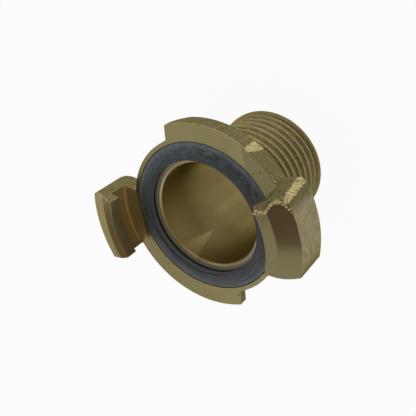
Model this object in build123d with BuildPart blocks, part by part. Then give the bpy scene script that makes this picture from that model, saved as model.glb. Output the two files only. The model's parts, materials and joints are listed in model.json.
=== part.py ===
"""Quarter turn fire hose coupling half with a hose tail, cast in brass, and its rubber lip gasket.

The axis is Z. The half stands on the end of its hose tail with its mouth up, and its two hooks
lie on +X and -X. Seen from the mouth, a gripped flange sector follows each hook anticlockwise,
and then a gap that lets the other half's hook through.
"""

import os
from math import cos, hypot, radians, sin

from build123d import *

# ---- driving dimensions, in millimetres and degrees ----
FRONT_Z = 50.5  # height of the flange's front face above the end of the tail

BORE_R = 20.1
BORE_CHAMFER = 0.6
BORE_RING_R = 23.0
BORE_RING_DEPTH = 1.8  # the ring round the bore stands this far behind the front face

SEAT_R = 28.8  # the gasket's channel lies between the bore ring and this wall
SEAT_DEPTH = 5.6
SEAT_LIP = 2.4  # the wall is this high in front of its undercut
SEAT_UNDERCUT = 0.5

HUB_R = 30.4  # outside of the flange where the other half's hooks pass
HUB_LENGTH = 9.5
NECK_LENGTH = 19.0

SECTOR_R = 35.0  # outside of the flange sectors that the other half's hooks grip, at their hooks
SECTOR_SWELL = 0.7  # and the outside grows by this much to the free end
SECTOR_START = 15.0  # hidden in the hook's root
SECTOR_END_OUTER = 104.2
SECTOR_END_INNER = 108.4
SECTOR_THICK = 7.3
SECTOR_THINNING = 0.8  # thickness that a sector loses from its hook to the lead-in
RIM_ROUNDING = 0.5
LEAD_IN_START = 90.0
LEAD_IN_THICK = 3.6  # thickness left at a sector's free end

TAIL_R = 21.4
RING_CREST = 0.8  # height of a ring above the tail
RING_WIDTH = 2.4
RING_PITCH = 3.95
RING_COUNT = 7
FIRST_RING_Z = 3.8  # the ring nearest the end of the tail
COLLAR_R = 22.8
COLLAR_LENGTH = 2.2
COLLAR_CHAMFER = 0.4

ARM_INNER_R = 35.9
ARM_OUTER_R = 43.0
SLOT_HEIGHT = 7.9  # clear height under a hook's lip
LIP_INNER_R = 31.9
LIP_FRONT = 12.9  # the lip's narrow face stands this far ahead of the front face
BEVEL_FRONT = 12.2
BEVEL_BACK = 9.2
WEB_BACK = 6.8  # the hook's back stands this far behind the front face
WEB_BEVEL = 2.0
FIRST_BLIND_Y = -13.2  # side of the first hook that faces the gap
SECOND_BLIND_Y = -11.0  # the second hook's, before its half turn: it is dressed further back
BLIND_CORNER_R = 2.8
FIRST_ENTRY_Y = 14.8  # side of the first hook at the slot's entry, at the outside of the arm
FIRST_ENTRY_DRAFT = 0.4  # that side comes in by this much at the hook's root
FIRST_ENTRY_CORNER_R = 4.5
SECOND_ENTRY_Y = 17.2
SECOND_ENTRY_DRAFT = 4.5
SECOND_ENTRY_CORNER_R = 1.2
LIP_SIDE_Y = 12.2  # the first hook's lip ends short of the arm on that side
LIP_CHAMFER_Y = 9.7  # and begins to slope away here

GASKET_R = 28.65
GASKET_HEEL_R = 29.2
GASKET_INNER_R = 22.4
GASKET_PROUD = 2.0  # the sealing lip stands this far ahead of the front face
GASKET_LIP_BACK = 0.7
GASKET_LINE_Z = 1.15  # a fine groove round the lip's inner wall is this far ahead of the front face
GASKET_LINE_DEPTH = 0.3
GASKET_GROOVE_R = 25.2  # bottom of the groove behind the sealing lip
GASKET_GROOVE_BACK = 1.5
GASKET_HEEL_INNER_R = 23.1


def behind(distance):
    """Height of what lies this far behind the flange's front face."""
    return FRONT_Z - distance


def ahead(distance):
    """Height of what stands this far ahead of the flange's front face."""
    return FRONT_Z + distance


def on_circle(radius, angle):
    """Point in plan on a circle about the axis."""
    return (radius * cos(radians(angle)), radius * sin(radians(angle)))


def sloping_plane(height, angle, slope):
    """Plane through the radial line at this angle and height, climbing anticlockwise from it."""
    along = (cos(radians(angle)), sin(radians(angle)), 0)
    return Plane(origin=(0, 0, height), x_dir=along, z_dir=(slope * along[1], -slope * along[0], 1))


def plane_through(first, second, third):
    """Plane through three points, its normal set by the right-hand rule."""
    edge = Vector(*second) - Vector(*first)
    return Plane(origin=first, x_dir=edge, z_dir=edge.cross(Vector(*third) - Vector(*first)))


# ---- one gripped sector of the flange ----
sector_inner_r = SEAT_R + SEAT_UNDERCUT
sector_middle = (SECTOR_START + SECTOR_END_OUTER) / 2

with BuildPart() as sector:
    with BuildSketch(Plane.XY.offset(behind(SECTOR_THICK))):
        with BuildLine():
            Line(on_circle(sector_inner_r, SECTOR_START), on_circle(SECTOR_R, SECTOR_START))
            ThreePointArc(
                on_circle(SECTOR_R, SECTOR_START),
                on_circle(SECTOR_R + SECTOR_SWELL / 2, sector_middle),
                on_circle(SECTOR_R + SECTOR_SWELL, SECTOR_END_OUTER),
            )
            Line(on_circle(SECTOR_R + SECTOR_SWELL, SECTOR_END_OUTER), on_circle(HUB_R, SECTOR_END_INNER))
            Line(on_circle(HUB_R, SECTOR_END_INNER), on_circle(sector_inner_r, SECTOR_END_INNER))
            ThreePointArc(
                on_circle(sector_inner_r, SECTOR_END_INNER),
                on_circle(sector_inner_r, sector_middle),
                on_circle(sector_inner_r, SECTOR_START),
            )
        make_face()
    extrude(amount=SECTOR_THICK)

    # the gripped rear face climbs slowly away from the hook, and a lead-in thins the free end
    half_run = SECTOR_R * sin(radians(sector_middle - SECTOR_START))
    climb = SECTOR_THINNING / (2 * half_run)
    middle_height = behind(SECTOR_THICK - SECTOR_THINNING / 2)
    split(bisect_by=sloping_plane(middle_height, sector_middle, climb), keep=Keep.TOP)

    thin_end = SECTOR_THICK - SECTOR_THINNING
    lead_in_run = SECTOR_R * sin(radians(SECTOR_END_OUTER - LEAD_IN_START))
    lead_in_climb = (thin_end - LEAD_IN_THICK) / lead_in_run
    split(bisect_by=sloping_plane(behind(thin_end), LEAD_IN_START, lead_in_climb), keep=Keep.TOP)

    # rounded casting edge along the rim's rear
    rear_edges = sector.edges().filter_by(lambda edge: edge.length > 10 and edge.center().Z < behind(1))
    fillet(rear_edges.sort_by(lambda edge: hypot(edge.center().X, edge.center().Y))[-1], RIM_ROUNDING)


def plain_hook(blind_side, entry_side, entry_draft, entry_corner_r):
    """A hook as it lies on +X, with its blind side towards the gap and its slot's entry on +Y."""
    with BuildPart() as hook:
        with BuildSketch(Plane.XZ):
            with BuildLine():
                Polyline(
                    (sector_inner_r, FRONT_Z),
                    (ARM_INNER_R, FRONT_Z),
                    (ARM_INNER_R, ahead(SLOT_HEIGHT)),
                    (LIP_INNER_R, ahead(SLOT_HEIGHT)),
                    (LIP_INNER_R, ahead(LIP_FRONT)),
                    (ARM_INNER_R, ahead(BEVEL_FRONT)),
                    (ARM_OUTER_R, ahead(BEVEL_BACK)),
                    (ARM_OUTER_R, behind(WEB_BACK - WEB_BEVEL)),
                    (ARM_OUTER_R - WEB_BEVEL, behind(WEB_BACK)),
                    (sector_inner_r, behind(WEB_BACK)),
                    close=True,
                )
            make_face()
        revolve(axis=Axis.Z)

        # outline in plan
        with BuildSketch(Plane.XY.offset(behind(WEB_BACK))) as outline:
            with BuildLine():
                Polyline(
                    (27.0, blind_side + 2.9),
                    (LIP_INNER_R - 1.4, blind_side + 1.9),
                    (ARM_INNER_R, blind_side + 0.2),
                    (ARM_OUTER_R - 4.5, blind_side),
                    (ARM_OUTER_R, blind_side + 0.3),
                    (ARM_OUTER_R, entry_side),
                    (27.0, entry_side - entry_draft),
                    close=True,
                )
            make_face()
            outer_corners = outline.vertices().group_by(Axis.X)[-1].sort_by(Axis.Y)
            fillet(outer_corners[0], BLIND_CORNER_R)
            fillet(outline.vertices().sort_by_distance((ARM_OUTER_R, entry_side))[0], entry_corner_r)
        extrude(amount=WEB_BACK + LIP_FRONT, mode=Mode.INTERSECT)
    return hook.part


# ---- first hook, on +X: its lip ends short of the arm at the entry, and slopes away there ----
with BuildPart() as first_hook:
    add(plain_hook(FIRST_BLIND_Y, FIRST_ENTRY_Y, FIRST_ENTRY_DRAFT, FIRST_ENTRY_CORNER_R))
    with BuildSketch(Plane.XY.offset(ahead(SLOT_HEIGHT))):
        with BuildLine():
            Polyline(
                (27.0, LIP_SIDE_Y - 1.0),
                (ARM_INNER_R - 1.2, LIP_SIDE_Y + 2.2),
                (ARM_INNER_R - 1.2, FIRST_ENTRY_Y + 1.0),
                (27.0, FIRST_ENTRY_Y + 1.0),
                close=True,
            )
        make_face()
    extrude(amount=LIP_FRONT - SLOT_HEIGHT, mode=Mode.SUBTRACT)
    lip_end = plane_through(
        (29.4, LIP_CHAMFER_Y, ahead(LIP_FRONT)),
        (ARM_INNER_R, FIRST_ENTRY_Y - 1.6, ahead(BEVEL_FRONT)),
        (29.3, FIRST_ENTRY_Y - 1.6, ahead(11.0)),
    )
    split(bisect_by=lip_end, keep=Keep.BOTTOM)

# ---- second hook, before its half turn: its blind corner is filed to a facet ----
with BuildPart() as second_hook:
    add(plain_hook(SECOND_BLIND_Y, SECOND_ENTRY_Y, SECOND_ENTRY_DRAFT, SECOND_ENTRY_CORNER_R))
    filed_corner = plane_through(
        (31.5, -9.3, ahead(LIP_FRONT)), (38.9, -9.8, ahead(10.2)), (35.0, -7.9, ahead(BEVEL_FRONT))
    )
    split(bisect_by=filed_corner, keep=Keep.BOTTOM)

# ---- coupling body: tail, hub, two sectors and two hooks in one casting ----
with BuildPart() as coupling_body:
    with BuildSketch(Plane.XZ):
        with BuildLine():
            Polyline(
                (0, 0),
                (COLLAR_R - COLLAR_CHAMFER, 0),
                (COLLAR_R, COLLAR_CHAMFER),
                (COLLAR_R, COLLAR_LENGTH - COLLAR_CHAMFER),
                (COLLAR_R - COLLAR_CHAMFER, COLLAR_LENGTH),
                (TAIL_R, COLLAR_LENGTH),
                (TAIL_R, behind(NECK_LENGTH)),
            )
            ThreePointArc(
                (TAIL_R, behind(NECK_LENGTH)),
                (TAIL_R + 2.2, behind(NECK_LENGTH - 5.5)),
                (HUB_R - 1, behind(HUB_LENGTH)),
            )
            Polyline(
                (HUB_R - 1, behind(HUB_LENGTH)),
                (HUB_R, behind(HUB_LENGTH - 1)),
                (HUB_R, FRONT_Z),
                (0, FRONT_Z),
                (0, 0),
            )
        make_face()
    revolve(axis=Axis.Z)

    # rings along the tail, each a round-backed ridge
    ring_r = (RING_CREST**2 + (RING_WIDTH / 2) ** 2) / (2 * RING_CREST)
    with BuildSketch(Plane.XZ):
        for i in range(RING_COUNT):
            with Locations((TAIL_R + RING_CREST - ring_r, FIRST_RING_Z + i * RING_PITCH)):
                Circle(ring_r)
    revolve(axis=Axis.Z)

    with PolarLocations(0, 2):
        add(sector.part)
    add(first_hook.part)
    add(second_hook.part, rotation=(0, 0, 180))

    # bore, the ring round it and the gasket's channel
    with BuildSketch(Plane.XZ):
        with BuildLine():
            Polyline(
                (0, 0),
                (BORE_R, 0),
                (BORE_R, behind(BORE_RING_DEPTH + BORE_CHAMFER)),
                (BORE_R + BORE_CHAMFER, behind(BORE_RING_DEPTH)),
                (BORE_RING_R, behind(BORE_RING_DEPTH)),
                (BORE_RING_R, behind(SEAT_DEPTH)),
                (SEAT_R + SEAT_UNDERCUT, behind(SEAT_DEPTH)),
                (SEAT_R + SEAT_UNDERCUT, behind(SEAT_LIP)),
                (SEAT_R, behind(SEAT_LIP)),
                (SEAT_R, FRONT_Z),
                (0, FRONT_Z),
                close=True,
            )
        make_face()
    revolve(axis=Axis.Z, mode=Mode.SUBTRACT)

# ---- lip gasket: heel in the channel, sealing lip proud of the front face ----
with BuildPart() as lip_gasket:
    with BuildSketch(Plane.XZ):
        with BuildLine():
            Polyline(
                (GASKET_R, behind(0.3)),
                (GASKET_R, behind(SEAT_LIP + 0.2)),
                (GASKET_HEEL_R, behind(SEAT_LIP + 0.2)),
                (GASKET_HEEL_R, behind(SEAT_DEPTH)),
                (GASKET_HEEL_INNER_R, behind(SEAT_DEPTH)),
                (GASKET_HEEL_INNER_R, behind(GASKET_GROOVE_BACK)),
                (GASKET_GROOVE_R, behind(GASKET_GROOVE_BACK)),
                (GASKET_GROOVE_R, behind(GASKET_LIP_BACK + 0.3)),
                (GASKET_INNER_R, behind(GASKET_LIP_BACK)),
                (GASKET_INNER_R, ahead(GASKET_LINE_Z - 0.25)),
                (GASKET_INNER_R + GASKET_LINE_DEPTH, ahead(GASKET_LINE_Z)),
                (GASKET_INNER_R, ahead(GASKET_LINE_Z + 0.25)),
                (GASKET_INNER_R, ahead(GASKET_PROUD - 0.4)),
            )
            ThreePointArc(
                (GASKET_INNER_R, ahead(GASKET_PROUD - 0.4)),
                (GASKET_INNER_R + 0.15, ahead(GASKET_PROUD - 0.1)),
                (GASKET_INNER_R + 0.5, ahead(GASKET_PROUD)),
            )
            ThreePointArc(
                (GASKET_INNER_R + 0.5, ahead(GASKET_PROUD)),
                ((GASKET_INNER_R + GASKET_R) / 2, ahead(GASKET_PROUD - 0.55)),
                (GASKET_R - 0.3, FRONT_Z),
            )
            Line((GASKET_R - 0.3, FRONT_Z), (GASKET_R, behind(0.3)))
        make_face()
    revolve(axis=Axis.Z)

# ---- one STEP file for each piece ----
os.makedirs("parts", exist_ok=True)
coupling_body.part.label = "coupling_body"
export_step(coupling_body.part, "parts/coupling_body.step")
lip_gasket.part.label = "lip_gasket"
export_step(lip_gasket.part, "parts/lip_gasket.step")
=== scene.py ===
"""Looks of the quarter turn fire hose coupling: cast brass body and rubber lip gasket."""

import json
from math import cos, hypot, radians, sin

import bmesh
import bpy
from mathutils import Matrix, Vector, noise


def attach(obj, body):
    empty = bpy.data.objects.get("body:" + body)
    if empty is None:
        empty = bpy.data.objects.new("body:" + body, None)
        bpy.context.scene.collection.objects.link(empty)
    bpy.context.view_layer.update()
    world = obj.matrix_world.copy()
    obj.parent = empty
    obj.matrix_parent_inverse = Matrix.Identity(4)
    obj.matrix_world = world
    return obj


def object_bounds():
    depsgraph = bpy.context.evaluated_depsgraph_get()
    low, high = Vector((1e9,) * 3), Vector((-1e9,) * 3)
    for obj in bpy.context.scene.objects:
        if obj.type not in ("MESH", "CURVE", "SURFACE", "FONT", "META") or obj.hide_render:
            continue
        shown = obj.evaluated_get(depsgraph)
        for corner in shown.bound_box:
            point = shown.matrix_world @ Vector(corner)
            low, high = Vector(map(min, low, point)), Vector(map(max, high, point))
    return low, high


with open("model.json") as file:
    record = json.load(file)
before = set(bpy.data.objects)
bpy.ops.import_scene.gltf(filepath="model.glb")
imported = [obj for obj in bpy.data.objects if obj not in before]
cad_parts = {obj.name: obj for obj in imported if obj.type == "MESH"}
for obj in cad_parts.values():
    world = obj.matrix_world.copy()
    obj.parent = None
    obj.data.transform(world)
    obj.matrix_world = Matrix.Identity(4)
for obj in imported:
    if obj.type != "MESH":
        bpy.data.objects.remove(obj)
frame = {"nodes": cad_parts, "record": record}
cad_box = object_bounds()

MM = 0.001
MOUNTS = {mount["name"]: mount for mount in frame["record"]["mounts"]}
FRONT_Z = MOUNTS["front_face"]["pos_m"][2]  # the flange's front face
BORE_R = MOUNTS["bore"]["dims"]["r_mm"] * MM
HOOK_TOP_Z = cad_box[1][2]
FIRST_RING_Z = 3.8 * MM  # crest of the hose tail's ring nearest its end
RING_PITCH = 3.95 * MM
RING_CREST_R = 22.2 * MM
COLLAR_TOP_Z = 2.2 * MM


def mm(*lengths):
    """Lengths in millimetres, given in metres."""
    return [length * MM for length in lengths]


def degrees(*angles):
    """Angles in degrees, given in radians."""
    return [radians(angle) for angle in angles]


# ---- camera ----
CAMERA_TILT = radians(40.72)  # between the line of sight and the coupling's axis
CAMERA_TURN = radians(28.73)  # of the line of sight round the axis, from the first hook
CAMERA_ROLL = radians(214.0)  # direction in the view that the mouth points to
CAMERA_DISTANCE = 0.2351
CAMERA_RIGHT = 0.00162  # how far the line of sight passes right of the front face's centre
CAMERA_UP = 0.02458
CAMERA_SHIFT = -0.1442  # brings the coupling, which lies below the line of sight, into the view
CAMERA_CLIP = 0.01
LENS_MM = 57.22
SENSOR_MM = 36.0


def add_camera():
    """Adds the camera and returns its upward and backward directions."""
    level_sight = Vector((sin(CAMERA_TILT), 0, cos(CAMERA_TILT)))
    sight = Matrix.Rotation(CAMERA_TURN, 3, "Z") @ level_sight
    mouth = (Vector((0, 0, 1)) - sight * sight.z).normalized()
    across = sight.cross(mouth)
    right = mouth * cos(CAMERA_ROLL) - across * sin(CAMERA_ROLL)
    up = mouth * sin(CAMERA_ROLL) + across * cos(CAMERA_ROLL)
    place = Vector((0, 0, FRONT_Z)) + right * CAMERA_RIGHT + up * CAMERA_UP
    place += sight * CAMERA_DISTANCE

    data = bpy.data.cameras.new("camera")
    data.lens = LENS_MM
    data.sensor_width = SENSOR_MM
    data.shift_y = CAMERA_SHIFT
    data.clip_start = CAMERA_CLIP
    camera = bpy.data.objects.new("camera", data)
    turned = Matrix((right, up, sight)).transposed().to_4x4()
    camera.matrix_world = Matrix.Translation(place) @ turned
    bpy.context.scene.collection.objects.link(camera)
    bpy.context.scene.camera = camera
    return up, sight


up, sight = add_camera()


# ---- material nodes ----
class Recipe:
    """A material's node tree, with short calls for the nodes that the recipes here are made of."""

    def __init__(self, tree):
        self.tree = tree

    def node(self, kind, **settings):
        node = self.tree.nodes.new("ShaderNode" + kind)
        for name, value in settings.items():
            setattr(node, name, value)
        return node

    def wire(self, value, socket):
        """Feeds a socket from another node's output, or sets it to a plain value."""
        if isinstance(value, bpy.types.NodeSocket):
            self.tree.links.new(value, socket)
        else:
            socket.default_value = value

    def math(self, operation, *values):
        node = self.node("Math", operation=operation)
        for value, socket in zip(values, node.inputs):
            self.wire(value, socket)
        return node.outputs[0]

    def times(self, product, *factors):
        for factor in factors:
            product = self.math("MULTIPLY", product, factor)
        return product

    def plus(self, total, *values):
        for value in values:
            total = self.math("ADD", total, value)
        return total

    def less(self, first, second):
        return self.math("SUBTRACT", first, second)

    def most(self, greatest, *values):
        for value in values:
            greatest = self.math("MAXIMUM", greatest, value)
        return greatest

    def line(self, value, slope, start):
        """A straight line: start where the value is 0, and slope more for each 1 of it."""
        return self.math("MULTIPLY_ADD", value, slope, start)

    def ramp(self, value, low, high, at_low=0.0, at_high=1.0):
        """Goes smoothly from at_low to at_high as the value goes from low to high."""
        node = self.node("MapRange", interpolation_type="SMOOTHSTEP")
        limits = {"Value": value, "From Min": low, "From Max": high}
        results = {"To Min": at_low, "To Max": at_high}
        for name, number in {**limits, **results}.items():
            self.wire(number, node.inputs[name])
        return node.outputs["Result"]

    def band(self, value, outer_low, low, high, outer_high):
        """1 from low to high, going smoothly to 0 at the outer limits."""
        return self.times(self.ramp(value, outer_low, low), self.ramp(value, outer_high, high))

    def vector(self, operation, first, second=(0, 0, 0), output="Vector"):
        node = self.node("VectorMath", operation=operation)
        self.wire(first, node.inputs[0])
        self.wire(second, node.inputs[1])
        return node.outputs[output]

    def part(self, vector, axis):
        """One coordinate of a vector."""
        node = self.node("SeparateXYZ")
        self.wire(vector, node.inputs[0])
        return node.outputs[axis]

    def joined(self, **parts):
        """A vector made of its coordinates. One that isn't given is 0."""
        node = self.node("CombineXYZ")
        for axis, value in parts.items():
            self.wire(value, node.inputs[axis.upper()])
        return node.outputs[0]

    def noise(self, place, per_metre, detail=2.0, roughness=0.5):
        node = self.node("TexNoise")
        self.wire(place, node.inputs["Vector"])
        node.inputs["Scale"].default_value = per_metre
        node.inputs["Detail"].default_value = detail
        node.inputs["Roughness"].default_value = roughness
        return node.outputs["Fac"]

    def pits(self, place, per_metre, size):
        """1 in small round pits, in about a fifth of the pattern's cells, and 0 elsewhere."""
        cells = self.node("TexVoronoi")
        self.wire(place, cells.inputs["Vector"])
        cells.inputs["Scale"].default_value = per_metre
        hole = self.ramp(cells.outputs["Distance"], size, size * 1.6, 1.0, 0.0)
        chosen = self.ramp(self.part(cells.outputs["Color"], "X"), 0.80, 0.82)
        return self.times(hole, chosen)

    def mix(self, share, first, second):
        """Goes from the first colour to the second as the share goes from 0 to 1."""
        node = self.node("Mix", data_type="RGBA")
        colour_sockets = [socket for socket in node.inputs if socket.type == "RGBA"]
        self.wire(share, node.inputs["Factor"])
        for value, socket in zip((first, second), colour_sockets):
            plain = not isinstance(value, bpy.types.NodeSocket)
            self.wire((*value, 1.0) if plain else value, socket)
        return next(socket for socket in node.outputs if socket.type == "RGBA")

    def coat(self, under, over, share, strength):
        """Lays one colour over another by a share, at a strength from 0 to 1."""
        return self.mix(self.times(share, strength), under, over)

    def bump(self, height, distance, normal=None):
        node = self.node("Bump")
        self.wire(height, node.inputs["Height"])
        node.inputs["Distance"].default_value = distance
        if normal is not None:
            self.wire(normal, node.inputs["Normal"])
        return node.outputs["Normal"]


class Spot:
    """Where a point of a surface lies on the coupling, and which way the surface faces there."""

    def __init__(self, recipe):
        coordinates = recipe.node("TexCoord").outputs
        self.place = coordinates["Object"]
        facing = coordinates["Normal"]
        self.x, self.y, self.height = (recipe.part(self.place, axis) for axis in "XYZ")
        self.ahead = recipe.less(self.height, FRONT_Z)
        self.turn = recipe.math("ARCTAN2", self.y, self.x)  # round the axis from the first hook
        flat_place = recipe.vector("MULTIPLY", self.place, (1, 1, 0))
        self.radius = recipe.vector("LENGTH", flat_place, output="Value")
        self.from_axis = recipe.vector("NORMALIZE", flat_place)
        self.outward = recipe.vector("DOT_PRODUCT", self.from_axis, facing, output="Value")
        self.rise = recipe.part(facing, "Z")


def new_material(name):
    material = bpy.data.materials.new(name)
    material.use_nodes = True
    return material, Recipe(material.node_tree), material.node_tree.nodes["Principled BSDF"]


# ---- brass: blasted casting with machined faces ----
BRASS = (0.252, 0.218, 0.103)
BRASS_DULL = (0.175, 0.155, 0.076)
# painted shade: darker machined brass on the hooks' lips and on the flange beside the first hook
BRASS_PAINTED_SHADE = (0.180, 0.152, 0.078)
# painted light: slot brass lighter than the brass around it
BRASS_SLOT_PAINTED_LIGHT = (0.50, 0.41, 0.20)
BRASS_FRESH = (0.50, 0.41, 0.175)
BRASS_TORN = (0.86, 0.74, 0.38)
# pale brass: painted light on the hooks' outsides, a painted highlight on the second hook's bevel,
# and the mouth's worn inner edge
BRASS_PALE = (0.40, 0.355, 0.225)
BRASS_BORE = (0.248, 0.194, 0.075)
BRASS_BORE_DULL = (0.215, 0.168, 0.066)
# painted reflections in the bore: lighter low down, in a streak, at the mouth and in a wedge
BRASS_BORE_PAINTED_REFLECTION = (0.36, 0.28, 0.12)
BRASS_BORE_MOUTH_REFLECTION = (0.50, 0.39, 0.16)
BRASS_BORE_WEDGE_REFLECTION = (0.54, 0.42, 0.195)
# painted shade between the tail's rings
BRASS_PAINTED_RING_SHADE = (0.1025, 0.0895, 0.044)
BRASS_EDGE_TINT = (0.62, 0.56, 0.40)  # colour of the metal seen at a grazing angle
DIRT = (0.030, 0.024, 0.012)
GREY_DEPOSIT = (0.26, 0.25, 0.20)
WHITE_DEPOSIT = (0.36, 0.37, 0.34)
CAST_ROUGHNESS = 0.5
MACHINED_ROUGHNESS = 0.34
EDGE_ROUNDING = 0.3 * MM
CRUMB_GRAIN = 2600  # per metre, in torn metal

# The limit of the cast metal on the first hook's front: an arch across its lip.
ARCH_X = 37.6 * MM
ARCH_HALF_WIDTH = 4.5 * MM
ARCH_TOP_Y = 13.2 * MM
ARCH_DROP = 5.2 * MM
ARCH_LEAST_Y = 10.1 * MM
TORN_PAST_ARCH = 0.2 * MM

# The strip ground down the outer corner of the first hook's entry end.
STRIP_X = 37.6 * MM  # its inner limit at the height of the flange's face
STRIP_X_LEAN = 0.17
STRIP_Y = 14.1 * MM
STRIP_Y_LEAN = -0.1

# The patch ground on the first sector's rim, between two turns round the axis.
PATCH_NEAR = radians(46.6)
PATCH_NEAR_LEAN = radians(0.52) / MM  # its near limit moves with the height
PATCH_FAR = radians(50.3)
PATCH_R = 35 * MM
PATCH_SHARE = 0.75

# The painted reflection of a paler wedge inside the mouth, which narrows towards the rear.
WEDGE_TURN = radians(54)
WEDGE_HALF_TURN = radians(12.85)  # at the height of the flange's face
WEDGE_NARROWING = radians(11.5) / (17 * MM)

FACET = Vector(mm(-36.4, 8.8, 11.5)) + Vector((0, 0, FRONT_Z))  # filed corner of the second hook
DEPOSIT = Vector((*mm(-29.4, 9.8), FRONT_Z))  # pale crust beside the second hook


def ragged(recipe, place, reach):
    """An uneven distance either side of zero, for the torn edges of ground and cast patches."""
    coarse = recipe.noise(place, 700, detail=4.0, roughness=0.7)
    return recipe.times(recipe.less(coarse, 0.5), 2.0 * reach)


def machined_faces(recipe, spot):
    """Shares of the faces cut to the front, and of those cut inside the hooks and the bore."""
    front = recipe.times(recipe.ramp(spot.rise, 0.75, 0.85), recipe.ramp(spot.ahead, *mm(-3, -2.5)))
    inward = recipe.ramp(spot.outward, -0.5, -0.7)
    facing_down = recipe.ramp(spot.rise, -0.7, -0.85)
    underside = recipe.times(facing_down, recipe.ramp(spot.ahead, *mm(6, 7)))
    return front, recipe.most(inward, underside)


def slot_faces(recipe, spot, front, inside, on_flange):
    """Share of the slots, which get painted light: inside the hooks, on the flange under them, by
    the collar.
    """
    past_lip = recipe.times(recipe.most(front, inside), recipe.ramp(spot.radius, *mm(30.6, 31.6)))
    below_lip_front = recipe.ramp(spot.ahead, *mm(13.2, 13.0))
    in_slot = recipe.times(past_lip, inside, below_lip_front)
    beside_axis = recipe.math("ABSOLUTE", spot.x)
    under_hook = recipe.times(
        on_flange,
        recipe.ramp(beside_axis, *mm(28.7, 29.6)),
        recipe.band(spot.y, *mm(-14, -12, 10.5, 11.5)),
    )
    over_collar = recipe.ramp(spot.height, COLLAR_TOP_Z - 0.1 * MM, COLLAR_TOP_Z)
    by_collar = recipe.times(
        over_collar,
        recipe.ramp(spot.height, *mm(3.0, 2.6)),
        recipe.ramp(spot.radius, *mm(21, 21.2)),
    )
    return recipe.most(in_slot, under_hook, by_collar)


def tail_rings(recipe, spot):
    """Shares of the painted highlight on the rings' crests and of the painted shade behind them."""
    last_ring_z = FIRST_RING_Z + 6 * RING_PITCH
    below_hub = recipe.ramp(
        spot.height, last_ring_z + 0.4 * RING_PITCH, last_ring_z + 0.1 * RING_PITCH
    )
    # painted highlight on the ring crests
    painted_crest_highlight = recipe.times(
        below_hub,
        recipe.ramp(spot.radius, RING_CREST_R - 0.05 * MM, RING_CREST_R - 0.01 * MM),
        recipe.ramp(spot.height, COLLAR_TOP_Z, COLLAR_TOP_Z + 0.4 * MM),
    )
    rings_up = recipe.math("DIVIDE", recipe.less(spot.height, FIRST_RING_Z), RING_PITCH)
    past_crest = recipe.math("FRACT", rings_up)
    # painted shade behind the crests
    painted_shade_behind_crests = recipe.times(below_hub, recipe.band(past_crest, 0.55, 0.75, 0.90, 0.96))
    return painted_crest_highlight, painted_shade_behind_crests


def rim_line(recipe, spot):
    """Share of the thin line along the sectors' front edge, on the rim's side."""
    return recipe.times(
        recipe.ramp(spot.outward, 0.5, 0.7),
        recipe.band(spot.ahead, *mm(-0.34, -0.16, 0.2, 0.4)),
        recipe.band(spot.radius, *mm(34, 34.6, 36.0, 36.4)),
    )


def mouth_finishes(recipe, spot):
    """Shares of the mouth's crusted ring, of its worn inner edge and of the painted shade in its
    outer gap.
    """
    mouth = recipe.times(
        recipe.ramp(spot.radius, *mm(23.6, 23.2)), recipe.ramp(spot.ahead, *mm(-2.3, -1.9))
    )
    limits = (mm(21.0, 21.2), mm(21.3, 21.1), mm(22.3, 22.6))
    return [recipe.times(mouth, recipe.ramp(spot.radius, *limit)) for limit in limits]


def bore_colour_with_painted_reflections(recipe, spot):
    """Drawn brass of the bore, with painted reflections: lighter low down, at the mouth, in a
    streak and in a wedge.
    """
    back_y, back_x = (recipe.times(part, -1.0) for part in (spot.y, spot.x))
    low_turn = recipe.math("ARCTAN2", back_y, back_x)  # round the axis from the second hook
    # painted reflection, lighter low down in the bore
    low = recipe.times(
        recipe.band(low_turn, *degrees(35, 62, 115, 150)),
        recipe.ramp(spot.ahead, *mm(-26, -10)),
    )
    # painted reflection, lighter at the mouth
    mouth = recipe.times(
        recipe.ramp(spot.ahead, *mm(-17, -3)), recipe.ramp(low_turn, *degrees(60, 35))
    )
    # painted reflection along a streak
    beside_streak = recipe.math("ABSOLUTE", recipe.less(low_turn, radians(41)))
    painted_streak_reflection = recipe.times(
        recipe.ramp(beside_streak, *degrees(10, 1)),
        recipe.ramp(low_turn, *degrees(50.5, 49)),
        recipe.ramp(spot.ahead, *mm(-14, -34)),
    )
    # painted reflection in a wedge that narrows towards the rear
    wedge_half = recipe.line(spot.ahead, WEDGE_NARROWING, WEDGE_HALF_TURN)
    beside_wedge = recipe.math("ABSOLUTE", recipe.less(low_turn, WEDGE_TURN))
    painted_wedge_reflection = recipe.ramp(recipe.less(wedge_half, beside_wedge), *degrees(-2.0, 2.4))

    drawn_place = recipe.vector("MULTIPLY", spot.place, (1, 1, 0.05))  # long along the axis
    drawn = recipe.noise(drawn_place, 150, detail=3.0)
    colour = recipe.mix(recipe.ramp(drawn, 0.3, 0.7), BRASS_BORE, BRASS_BORE_DULL)
    colour = recipe.mix(low, colour, BRASS_BORE_PAINTED_REFLECTION)
    colour = recipe.coat(colour, BRASS_BORE_MOUTH_REFLECTION, mouth, 0.9)
    colour = recipe.coat(colour, BRASS_BORE_PAINTED_REFLECTION, painted_streak_reflection, 0.35)
    return recipe.mix(painted_wedge_reflection, colour, BRASS_BORE_WEDGE_REFLECTION)


def ground_strip(recipe, spot):
    """Share of the strip ground down the first hook's outer corner."""
    tear = ragged(recipe, spot.place, 1.6 * MM)
    side_limit = recipe.line(spot.ahead, STRIP_X_LEAN, STRIP_X)
    outer_limit = recipe.line(spot.ahead, STRIP_Y_LEAN, STRIP_Y)
    past_side = recipe.less(recipe.plus(spot.x, tear), side_limit)
    past_outer = recipe.less(recipe.plus(spot.y, tear), outer_limit)
    least = recipe.math("MINIMUM", past_side, past_outer)
    return recipe.ramp(least, *mm(-0.1, 0.15))


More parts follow.
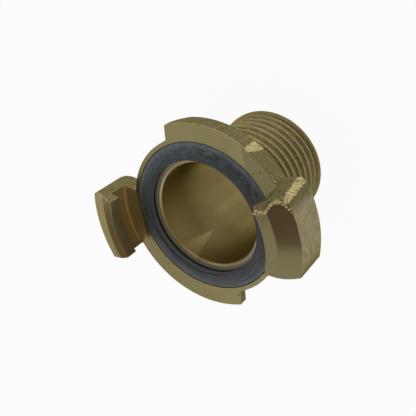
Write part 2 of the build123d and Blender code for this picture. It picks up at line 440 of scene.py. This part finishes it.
def ground_patch(recipe, spot):
    """Share of the small patch ground on the first sector's rim, wider to the rear."""
    tear = recipe.math("DIVIDE", ragged(recipe, spot.place, 0.9 * MM), PATCH_R)
    turn = recipe.plus(spot.turn, tear)
    past_near = recipe.less(turn, recipe.line(spot.ahead, PATCH_NEAR_LEAN, PATCH_NEAR))
    short_of_far = recipe.less(PATCH_FAR, turn)
    within = recipe.ramp(recipe.math("MINIMUM", past_near, short_of_far), -0.002, 0.004)
    on_rim = recipe.ramp(spot.radius, *mm(34.6, 34.8))
    in_front = recipe.ramp(spot.ahead, *mm(-7.6, -7.4))
    return recipe.times(within, on_rim, in_front, PATCH_SHARE)


def torn_arch(recipe, spot):
    """Share of the torn metal along the arch where the hook's machined front ends."""
    beside = recipe.math("DIVIDE", recipe.less(spot.x, ARCH_X), ARCH_HALF_WIDTH)
    arch = recipe.line(recipe.times(beside, beside), -ARCH_DROP, ARCH_TOP_Y + TORN_PAST_ARCH)
    arch = recipe.most(arch, ARCH_LEAST_Y + TORN_PAST_ARCH)
    torn_y = recipe.plus(spot.y, ragged(recipe, spot.place, 1.3 * MM))
    return recipe.times(
        recipe.band(recipe.less(torn_y, arch), *mm(-0.4, 0.0, 0.7, 1.6)),
        recipe.ramp(spot.ahead, *mm(8.6, 9.4)),
        recipe.ramp(spot.x, *mm(28, 28.5)),
    )


def worn_edges(recipe, spot, slot):
    """Shares of the bright corner under the hooks and of the filed facet's surroundings."""
    hook_corner = recipe.times(
        slot,
        recipe.ramp(spot.radius, *mm(35.2, 35.6)),
        recipe.ramp(spot.ahead, *mm(0.7, 0.3)),
        0.6,
    )
    from_facet = recipe.vector("DISTANCE", spot.place, FACET, output="Value")
    return hook_corner, recipe.times(recipe.ramp(from_facet, *mm(5, 4)), 0.9)


def crust(recipe, spot):
    """Share of the pale crust on the flange beside the second hook."""
    away = recipe.vector("DISTANCE", spot.place, DEPOSIT, output="Value")
    away = recipe.plus(away, ragged(recipe, spot.place, 1.2 * MM))
    return recipe.ramp(away, *mm(1.3, 0.5))


def brass(name, rough_end=False):
    """Cast skin outside, and machined front, bore, lips and slots, by where they lie and face."""
    material, recipe, shader = new_material(name)
    spot = Spot(recipe)
    place = spot.place

    # where each finish, painted light, painted shade and painted reflection lies
    front, inside = machined_faces(recipe, spot)
    on_flange = recipe.times(front, recipe.ramp(spot.ahead, *mm(1.5, 0.5)))
    slot = slot_faces(recipe, spot, front, inside, on_flange)
    machined = 0.0 if rough_end else recipe.most(front, inside)
    bore = recipe.ramp(spot.radius, BORE_R + 0.8 * MM, BORE_R + 0.65 * MM)
    lip_front = recipe.ramp(spot.ahead, *mm(8, 9))
    hook_face = recipe.times(machined, lip_front, recipe.less(1.0, slot))
    # painted highlight on the second hook's bevel
    painted_bevel_highlight = recipe.times(hook_face, recipe.ramp(spot.x, *mm(-35.7, -36.3)))
    # painted shade on the flange beside the first hook
    painted_shade_by_first_hook = recipe.times(
        on_flange, recipe.ramp(spot.x, *mm(21.1, 21.8)), recipe.ramp(spot.y, *mm(0, 4))
    )
    # painted light on the hooks' outsides
    painted_light_on_hook_outsides = recipe.ramp(recipe.math("ABSOLUTE", spot.x), *mm(41.2, 42.3))
    painted_crest_highlight, painted_shade_behind_crests = tail_rings(recipe, spot)
    mouth_ring, mouth_edge, mouth_gap_painted_shade = mouth_finishes(recipe, spot)
    hook_corner, near_facet = worn_edges(recipe, spot, slot)
    deposit = crust(recipe, spot)
    torn = recipe.most(ground_strip(recipe, spot), ground_patch(recipe, spot))
    if rough_end:
        torn = recipe.most(torn, torn_arch(recipe, spot))

    rounded = recipe.node("Bevel", samples=4)
    rounded.inputs["Radius"].default_value = EDGE_ROUNDING
    true_facing = recipe.node("NewGeometry").outputs["Normal"]
    rounded_facing = rounded.outputs["Normal"]
    straight = recipe.vector("DOT_PRODUCT", rounded_facing, true_facing, output="Value")
    edge = recipe.ramp(straight, 0.985, 0.86)

    grain = recipe.noise(place, 1700, detail=4.0, roughness=0.65)
    lumps = recipe.noise(place, 420, detail=3.0)
    clouds = recipe.noise(place, 75, detail=4.0, roughness=0.6)
    turning = recipe.noise(recipe.joined(x=spot.radius, z=spot.height), 2500)
    crumbs = recipe.noise(place, CRUMB_GRAIN, detail=3.0, roughness=0.6)
    pits = recipe.times(recipe.pits(place, 330, 0.08), recipe.less(1.0, bore))

    # cast skin, with painted shade and a painted highlight on the tail's rings, and painted light
    # on the hooks' outsides
    cast = recipe.mix(recipe.ramp(clouds, 0.45, 0.80), BRASS_DULL, BRASS)
    cast = recipe.mix(recipe.ramp(grain, 0.5, 0.72, 0.0, 0.55), cast, BRASS_FRESH)
    cast = recipe.mix(recipe.ramp(grain, 0.46, 0.3, 0.0, 0.5), cast, DIRT)
    # painted shade behind the ring crests, then a painted highlight on the crests
    cast = recipe.coat(cast, BRASS_PAINTED_RING_SHADE, painted_shade_behind_crests, 0.55)
    cast = recipe.coat(cast, BRASS_FRESH, painted_crest_highlight, recipe.ramp(lumps, 0.25, 0.55, 0.35, 0.95))
    # painted light on the hooks' outsides
    cast = recipe.coat(cast, BRASS_PALE, painted_light_on_hook_outsides, recipe.ramp(lumps, 0.35, 0.6, 0.45, 0.85))
    speckled = recipe.mix(recipe.ramp(grain, 0.4, 0.6), BRASS, BRASS_TORN)
    line_colour = recipe.mix(recipe.ramp(spot.turn, *degrees(49, 52)), DIRT, speckled)
    cast = recipe.coat(cast, line_colour, rim_line(recipe, spot), 0.7)

    # machined faces, with painted shade on the hooks' lips and beside the first hook, and a painted
    # highlight on the second hook's bevel
    turned = recipe.mix(recipe.ramp(clouds, 0.4, 0.7, 0.0, 0.25), BRASS, BRASS_DULL)
    # painted shade on the hooks' lips and beside the first hook
    turned = recipe.coat(turned, BRASS_PAINTED_SHADE, recipe.most(painted_shade_by_first_hook, hook_face), 0.8)
    # painted highlight on the second hook's bevel
    turned = recipe.coat(turned, BRASS_PALE, painted_bevel_highlight, 0.5)

    # the two together, with painted light in the slots, painted reflections in the bore, wear,
    # dirt, crusts and painted shade in the mouth's outer gap over them
    colour = recipe.mix(machined, cast, turned)
    # painted light in the slots
    colour = recipe.mix(slot, colour, BRASS_SLOT_PAINTED_LIGHT)
    colour = recipe.mix(hook_corner, colour, BRASS_TORN)
    colour = recipe.mix(bore, colour, bore_colour_with_painted_reflections(recipe, spot))
    colour = recipe.coat(colour, BRASS_FRESH, edge, recipe.ramp(lumps, 0.3, 0.6, 0.15, 0.75))
    colour = recipe.coat(colour, DIRT, pits, 0.75)
    colour = recipe.coat(colour, BRASS_TORN, edge, near_facet)
    crumbled = recipe.mix(recipe.ramp(crumbs, 0.36, 0.56), BRASS, BRASS_TORN)
    colour = recipe.mix(torn, colour, crumbled)
    colour = recipe.coat(colour, WHITE_DEPOSIT, deposit, 0.8)
    colour = recipe.coat(colour, GREY_DEPOSIT, mouth_ring, 0.85)
    # painted shade in the mouth's outer gap
    colour = recipe.coat(colour, DIRT, mouth_gap_painted_shade, 0.85)
    colour = recipe.coat(colour, BRASS_PALE, mouth_edge, 0.35)
    recipe.wire(colour, shader.inputs["Base Color"])

    roughness = recipe.ramp(machined, 0.0, 1.0, CAST_ROUGHNESS, MACHINED_ROUGHNESS)
    uneven = recipe.ramp(clouds, 0.3, 0.7, -0.04, 0.04)
    rougher = recipe.plus(recipe.times(slot, 0.15), recipe.times(bore, 0.12))
    roughness = recipe.plus(roughness, uneven, rougher)
    recipe.wire(recipe.less(roughness, recipe.times(hook_face, 0.12)), shader.inputs["Roughness"])
    crusted = recipe.most(mouth_ring, deposit)
    recipe.wire(recipe.line(crusted, -0.8, 1.0), shader.inputs["Metallic"])
    shader.inputs["Specular Tint"].default_value = (*BRASS_EDGE_TINT, 1.0)

    cast_relief = recipe.times(recipe.line(lumps, 1.5, grain), recipe.less(1.0, machined))
    torn_relief = recipe.times(grain, 2.5, torn)
    relief = recipe.plus(cast_relief, torn_relief, recipe.times(turning, 0.05))
    relief = recipe.less(relief, pits)
    depth = 0.3 * MM if rough_end else 0.18 * MM
    recipe.wire(recipe.bump(relief, depth, rounded_facing), shader.inputs["Normal"])
    return material


def torn_brass():
    """Bright brass where metal has broken away."""
    material, recipe, shader = new_material("torn_brass")
    place = recipe.node("TexCoord").outputs["Object"]
    crumbs = recipe.noise(place, CRUMB_GRAIN, detail=3.0, roughness=0.6)
    colour = recipe.mix(recipe.ramp(crumbs, 0.4, 0.6), BRASS_FRESH, BRASS_TORN)
    recipe.wire(colour, shader.inputs["Base Color"])
    recipe.wire(recipe.bump(crumbs, 0.1 * MM), shader.inputs["Normal"])
    shader.inputs["Metallic"].default_value = 1.0
    shader.inputs["Roughness"].default_value = 0.38
    return material


# ---- rubber ----
RUBBER = (0.016, 0.022, 0.026)
RUBBER_BLOOM = (0.042, 0.057, 0.067)
# dust, also used as a painted highlight at the gasket's outer edge
RUBBER_DUST_AND_HIGHLIGHT = (0.165, 0.19, 0.20)
# painted light on the gasket's inner wall
RUBBER_WALL_PAINTED_LIGHT = (0.115, 0.120, 0.118)
ARCS_PER_METRE = 1500  # fine marks that run round the gasket
ARC_SPREAD = 5.0  # the lower it is, the longer the marks


def rubber():
    """Moulded rubber with bloom, scuffs and dust, one side painted lighter, painted shade towards
    its inner edge, a painted highlight at its outer edge and painted light on its inner wall.
    """
    material, recipe, shader = new_material("dusty_rubber_with_painted_light")
    spot = Spot(recipe)
    place = spot.place

    bloom_and_side_light = recipe.noise(place, 130, detail=8.0, roughness=0.75)
    # painted light: the gasket lighter towards -X
    bloom_and_side_light = recipe.plus(bloom_and_side_light, recipe.ramp(spot.x, *mm(26, -26), -0.06, 0.07))
    scuffs = recipe.noise(place, 420, detail=5.0, roughness=0.75)
    specks = recipe.noise(place, 1300)
    round_place = recipe.vector("MULTIPLY", spot.from_axis, (ARC_SPREAD,) * 3)
    across_place = recipe.joined(z=recipe.times(spot.radius, ARCS_PER_METRE))
    arc_place = recipe.vector("ADD", round_place, across_place)
    arcs = recipe.noise(arc_place, 1.0, detail=3.0, roughness=0.6)

    wander = recipe.times(recipe.less(scuffs, 0.5), 1.6 * MM)
    torn_radius = recipe.plus(spot.radius, wander)
    # painted shade towards the inner edge, and a painted highlight at the outer edge
    inner_painted_shade = recipe.ramp(torn_radius, *mm(25.8, 23.4))
    outer_edge_highlight = recipe.ramp(torn_radius, *mm(26.4, 28.2))
    # painted light on the middle of the inner wall
    wall_painted_light = recipe.times(
        recipe.ramp(spot.outward, -0.5, -0.8), recipe.band(spot.ahead, *mm(-0.7, -0.3, 0.9, 1.7))
    )

    colour = recipe.mix(recipe.ramp(bloom_and_side_light, 0.38, 0.66, 0.0, 0.85), RUBBER, RUBBER_BLOOM)
    colour = recipe.mix(recipe.ramp(scuffs, 0.52, 0.74, 0.0, 0.5), colour, RUBBER_DUST_AND_HIGHLIGHT)
    colour = recipe.mix(recipe.ramp(arcs, 0.52, 0.70, 0.0, 0.45), colour, RUBBER_DUST_AND_HIGHLIGHT)
    colour = recipe.mix(recipe.ramp(arcs, 0.46, 0.30, 0.0, 0.6), colour, RUBBER)
    # painted shade towards the inner edge, then a painted highlight at the outer edge
    colour = recipe.coat(colour, RUBBER, inner_painted_shade, 0.6)
    colour = recipe.coat(colour, RUBBER_DUST_AND_HIGHLIGHT, outer_edge_highlight, 0.45)
    colour = recipe.mix(recipe.ramp(specks, 0.64, 0.74, 0.0, 0.6), colour, RUBBER_DUST_AND_HIGHLIGHT)
    # painted light on the inner wall
    colour = recipe.mix(wall_painted_light, colour, RUBBER_WALL_PAINTED_LIGHT)
    recipe.wire(colour, shader.inputs["Base Color"])
    recipe.wire(recipe.ramp(bloom_and_side_light, 0.3, 0.7, 0.42, 0.7), shader.inputs["Roughness"])
    relief = recipe.plus(bloom_and_side_light, scuffs, specks)
    recipe.wire(recipe.bump(relief, 0.1 * MM), shader.inputs["Normal"])
    return material


# ---- pieces ----
def link(name, mesh):
    piece = bpy.data.objects.new(name, mesh)
    bpy.context.scene.collection.objects.link(piece)
    return piece


def give(piece, material):
    piece.data.materials.clear()
    piece.data.materials.append(material)


def shade_smooth(bm):
    for face in bm.faces:
        face.smooth = True


def arch_y(x):
    """How far along Y the machined front of the first hook's lip reaches, at a place across it."""
    return max(ARCH_LEAST_Y, ARCH_TOP_Y - ARCH_DROP * ((x - ARCH_X) / ARCH_HALF_WIDTH) ** 2)


# ---- the first hook's entry end, left as it was cast ----
END_BOX = ((*mm(27.5, 6.5), FRONT_Z - 7.4 * MM), (*mm(44, 17), FRONT_Z + 14 * MM))
END_VOXEL = 0.26 * MM
END_SINK = 0.12 * MM  # how far the piece lies under the hook's machined faces
END_FADE = 0.7 * MM  # over which the cast skin rises past the arch
SLOT_ROOF = 7.5 * MM  # ahead of the flange's face
HOOK_ARM_R = 35.3 * MM
HOOK_ARM_FADE = 0.4 * MM


def hook_end_block():
    """The entry end of the first hook, cut from a copy of the body as one closed block."""
    bm = bmesh.new()
    bm.from_mesh(frame["nodes"]["coupling_body"].data)
    bmesh.ops.remove_doubles(bm, verts=bm.verts, dist=0.001 * MM)
    for axis in range(3):
        for corner, sign in zip(END_BOX, (-1, 1)):
            normal = Vector((0, 0, 0))
            normal[axis] = sign
            everything = bm.verts[:] + bm.edges[:] + bm.faces[:]
            cut = bmesh.ops.bisect_plane(
                bm,
                geom=everything,
                dist=0.0005 * MM,
                plane_co=corner,
                plane_no=normal,
                clear_outer=True,
            )
            rim = [item for item in cut["geom_cut"] if isinstance(item, bmesh.types.BMEdge)]
            bmesh.ops.triangle_fill(bm, edges=rim, use_beauty=True, use_dissolve=False)
    bmesh.ops.recalc_face_normals(bm, faces=bm.faces)
    return bm


def remeshed(piece, voxel):
    """The piece's mesh rebuilt from small cells, as one closed skin of even faces."""
    remesh = piece.modifiers.new("remesh", "REMESH")
    remesh.mode = "VOXEL"
    remesh.voxel_size = voxel
    bpy.context.view_layer.update()
    finished = piece.evaluated_get(bpy.context.evaluated_depsgraph_get())
    mesh = bpy.data.meshes.new_from_object(finished)
    piece.modifiers.clear()
    return mesh


def cast_share(place):
    """1 where the hook's end is as cast, 0 where its lip and bevel are machined."""
    wander = 0.9 * noise.noise(place / (1.6 * MM)) + 0.5 * noise.noise(place / (0.7 * MM))
    near_end = (place.y + wander * MM - arch_y(place.x)) / END_FADE
    on_hook = 1.0
    if place.z < FRONT_Z + SLOT_ROOF:
        on_hook = (hypot(place.x, place.y) - HOOK_ARM_R) / HOOK_ARM_FADE
    return max(0.0, min(1.0, near_end, on_hook))


def add_cast_end():
    """A lumpy skin over the hook's end, proud of it where it is cast and sunk elsewhere."""
    bm = hook_end_block()
    mesh = bpy.data.meshes.new("hook_cast_end")
    bm.to_mesh(mesh)
    bm.free()
    block = link("hook_cast_end", mesh)
    block.data = remeshed(block, END_VOXEL)

    bm = bmesh.new()
    bm.from_mesh(block.data)
    bmesh.ops.smooth_vert(
        bm, verts=bm.verts, factor=0.5, use_axis_x=True, use_axis_y=True, use_axis_z=True
    )
    bm.normal_update()
    for vert in bm.verts:
        share = cast_share(vert.co)
        coarse = noise.noise(vert.co / (1.5 * MM))
        fine = noise.noise(vert.co / (0.6 * MM))
        lumps = (0.16 + 0.28 * coarse + 0.22 * fine) * MM
        vert.co += vert.normal * (share * lumps - (1 - share) * END_SINK)
        vert.co.z = min(vert.co.z, HOOK_TOP_Z)
    shade_smooth(bm)
    bm.to_mesh(block.data)
    bm.free()
    give(block, brass("cast_brass_rough_end", rough_end=True))
    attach(block, "root")


# ---- crumbs of metal left along torn and dressed edges ----
CRUMB_R = 0.28 * MM
CRUMB_LUMP = 0.25 * MM
RIM_CRUMBS = 9
RIM_CRUMB_TURNS = degrees(23.5, 31.0)
RIM_CRUMB_R = 35.05 * MM
END_CRUMBS = 16
END_CRUMB_X = mm(30.0, 41.5)
LIP_R = mm(31.9, 35.9, 43.0)  # the hook's front slopes from its inner edge to its bevel
LIP_AHEAD = mm(12.9, 12.2, 9.2)  # and from there to its outer edge


def between(ends, share):
    return ends[0] + share * (ends[1] - ends[0])


def lip_height(radius):
    """Height of the hook's front ahead of the flange's face, at a radius."""
    part = 0 if radius < LIP_R[1] else 1
    share = max(0.0, radius - LIP_R[part]) / (LIP_R[part + 1] - LIP_R[part])
    return between(LIP_AHEAD[part : part + 2], share)


def add_lump(bm, place, radius):
    """One lumpy crumb of metal."""
    moved = Matrix.Translation(place)
    made = bmesh.ops.create_icosphere(bm, subdivisions=2, radius=radius, matrix=moved)
    for vert in made["verts"]:
        vert.co += (vert.co - place) * 0.9 * noise.noise(vert.co / CRUMB_LUMP)
        vert.co.z = min(vert.co.z, HOOK_TOP_Z)


def add_rim_crumbs(bm):
    """Crumbs on the first sector's front edge beside the hook, smaller away from it."""
    for i in range(RIM_CRUMBS):
        share = i / (RIM_CRUMBS - 1)
        wander = noise.noise(Vector((i * 1.7, 0, 0)))
        turn = between(RIM_CRUMB_TURNS, share) + radians(wander)
        radius = RIM_CRUMB_R + 0.1 * MM * wander
        drop = (0.35 + 0.35 * wander) * MM
        place = Vector((radius * cos(turn), radius * sin(turn), FRONT_Z - drop))
        add_lump(bm, place, CRUMB_R * (1.25 - 0.8 * share))


def add_end_crumbs(bm):
    """Crumbs along the arch where the hook's machined front ends."""
    for i in range(END_CRUMBS):
        wander = noise.noise(Vector((i * 2.3, 4, 0)))
        x = between(END_CRUMB_X, i / (END_CRUMBS - 1))
        y = arch_y(x) + (0.3 + 0.6 * wander) * MM
        z = FRONT_Z + lip_height(hypot(x, y)) + 0.05 * MM
        add_lump(bm, Vector((x, y, z)), CRUMB_R * (0.85 + 0.5 * wander))


def add_crumbs():
    bm = bmesh.new()
    add_rim_crumbs(bm)
    add_end_crumbs(bm)
    shade_smooth(bm)
    mesh = bpy.data.meshes.new("metal_crumbs")
    bm.to_mesh(mesh)
    bm.free()
    crumbs = link("metal_crumbs", mesh)
    give(crumbs, torn_brass())
    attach(crumbs, "root")


add_cast_end()
add_crumbs()
give(frame["nodes"]["coupling_body"], brass("cast_brass"))
give(frame["nodes"]["lip_gasket"], rubber())


# ---- studio ----
FLOOR_HALF = 1.5
FLOOR_DROP = 0.2 * MM
FLOOR_COLOUR = (0.9, 0.9, 0.9, 1)
FLOOR_GLOW = 0.93  # the rest is painted floor, which keeps the coupling's shadow
ROOM_LIGHT = 0.6
UNLIT_ROOM = (0.29, 0.235, 0.205, 1)


def seen_share(recipe, share):
    """A share for what the camera, glossy rays and transmission rays see, and 0 for all else."""
    rays = recipe.node("LightPath").outputs
    kinds = ("Is Camera Ray", "Is Glossy Ray", "Is Transmission Ray")
    return recipe.times(recipe.most(*(rays[kind] for kind in kinds)), share)


def plate(name, centre, across, along):
    """A flat four-sided piece, given its centre and its two half sides."""
    bm = bmesh.new()
    corners = [centre + across * i + along * j for i, j in ((-1, -1), (1, -1), (1, 1), (-1, 1))]
    bm.faces.new([bm.verts.new(corner) for corner in corners])
    mesh = bpy.data.meshes.new(name)
    bm.to_mesh(mesh)
    bm.free()
    return link(name, mesh)


def bare_material(name):
    """A material with an empty node tree."""
    material = bpy.data.materials.new(name)
    material.use_nodes = True
    material.node_tree.nodes.clear()
    return material, Recipe(material.node_tree)


def blend_shaders(recipe, share, first, second):
    """Makes the surface a blend of two shaders."""
    both = recipe.node("MixShader")
    for value, socket in zip((share, first.outputs[0], second.outputs[0]), both.inputs):
        recipe.wire(value, socket)
    recipe.wire(both.outputs[0], recipe.node("OutputMaterial").inputs["Surface"])


def add_floor():
    middle = Vector((0, 0, cad_box[0][2] - FLOOR_DROP))
    floor = plate("floor", middle, Vector((FLOOR_HALF, 0, 0)), Vector((0, FLOOR_HALF, 0)))
    material, recipe = bare_material("pale_floor")
    paint = recipe.node("BsdfDiffuse")
    paint.inputs["Color"].default_value = FLOOR_COLOUR
    blend_shaders(recipe, seen_share(recipe, FLOOR_GLOW), paint, recipe.node("Emission"))
    give(floor, material)


def add_world():
    world = bpy.data.worlds.new("pale_room")
    bpy.context.scene.world = world
    world.use_nodes = True
    recipe = Recipe(world.node_tree)
    room = world.node_tree.nodes["Background"]
    room.inputs["Color"].default_value = (1, 1, 1, 1)
    strength = recipe.plus(seen_share(recipe, 1 - ROOM_LIGHT), ROOM_LIGHT)
    recipe.wire(strength, room.inputs["Strength"])


def add_lamp(name, direction, distance, size, watts):
    """A soft square lamp that faces the coupling."""
    data = bpy.data.lights.new(name, "AREA")
    data.size = size
    data.energy = watts
    lamp = bpy.data.objects.new(name, data)
    middle = Vector((0, 0, FRONT_Z * 0.7))
    turned = direction.to_track_quat("Z", "Y").to_matrix().to_4x4()
    lamp.matrix_world = Matrix.Translation(middle + direction.normalized() * distance) @ turned
    bpy.context.scene.collection.objects.link(lamp)


def add_dark_card(name, direction, distance, half_width, half_height, soft, level):
    """An unlit part of the room with soft edges, seen only in the metal."""
    toward = direction.normalized()
    side = toward.cross(up).normalized()
    rise = side.cross(toward)
    centre = toward * distance
    card = plate(name, centre, side * half_width, rise * half_height)
    material, recipe = bare_material(name)
    offset = recipe.vector("SUBTRACT", recipe.node("TexCoord").outputs["Object"], centre)
    share = 1.0
    for axis, half in ((side, half_width), (rise, half_height)):
        along = recipe.vector("DOT_PRODUCT", offset, axis, output="Value")
        faded = recipe.ramp(recipe.math("ABSOLUTE", along), half, half * (1 - soft))
        share = recipe.times(share, faded)
    glow = recipe.node("Emission")
    glow.inputs["Color"].default_value = UNLIT_ROOM
    glow.inputs["Strength"].default_value = level
    blend_shaders(recipe, share, recipe.node("BsdfTransparent"), glow)
    give(card, material)
    card.visible_camera = False
    card.visible_diffuse = False
    card.visible_shadow = False
    card.visible_transmission = False


add_floor()
add_world()
add_dark_card(
    "unlit_front",
    direction=sight * 0.98 + up * 0.12,
    distance=0.6,
    half_width=0.97,
    half_height=1.02,
    soft=0.14,
    level=1.15,
)
add_dark_card(
    "unlit_side",
    direction=Vector((-0.80, -0.42, 0.41)),
    distance=0.8,
    half_width=0.36,
    half_height=0.13,
    soft=0.4,
    level=1.7,
)
add_lamp("key_lamp", direction=up + sight * 0.35, distance=0.7, size=0.5, watts=2.5)
bpy.context.scene.view_settings.view_transform = "Standard"
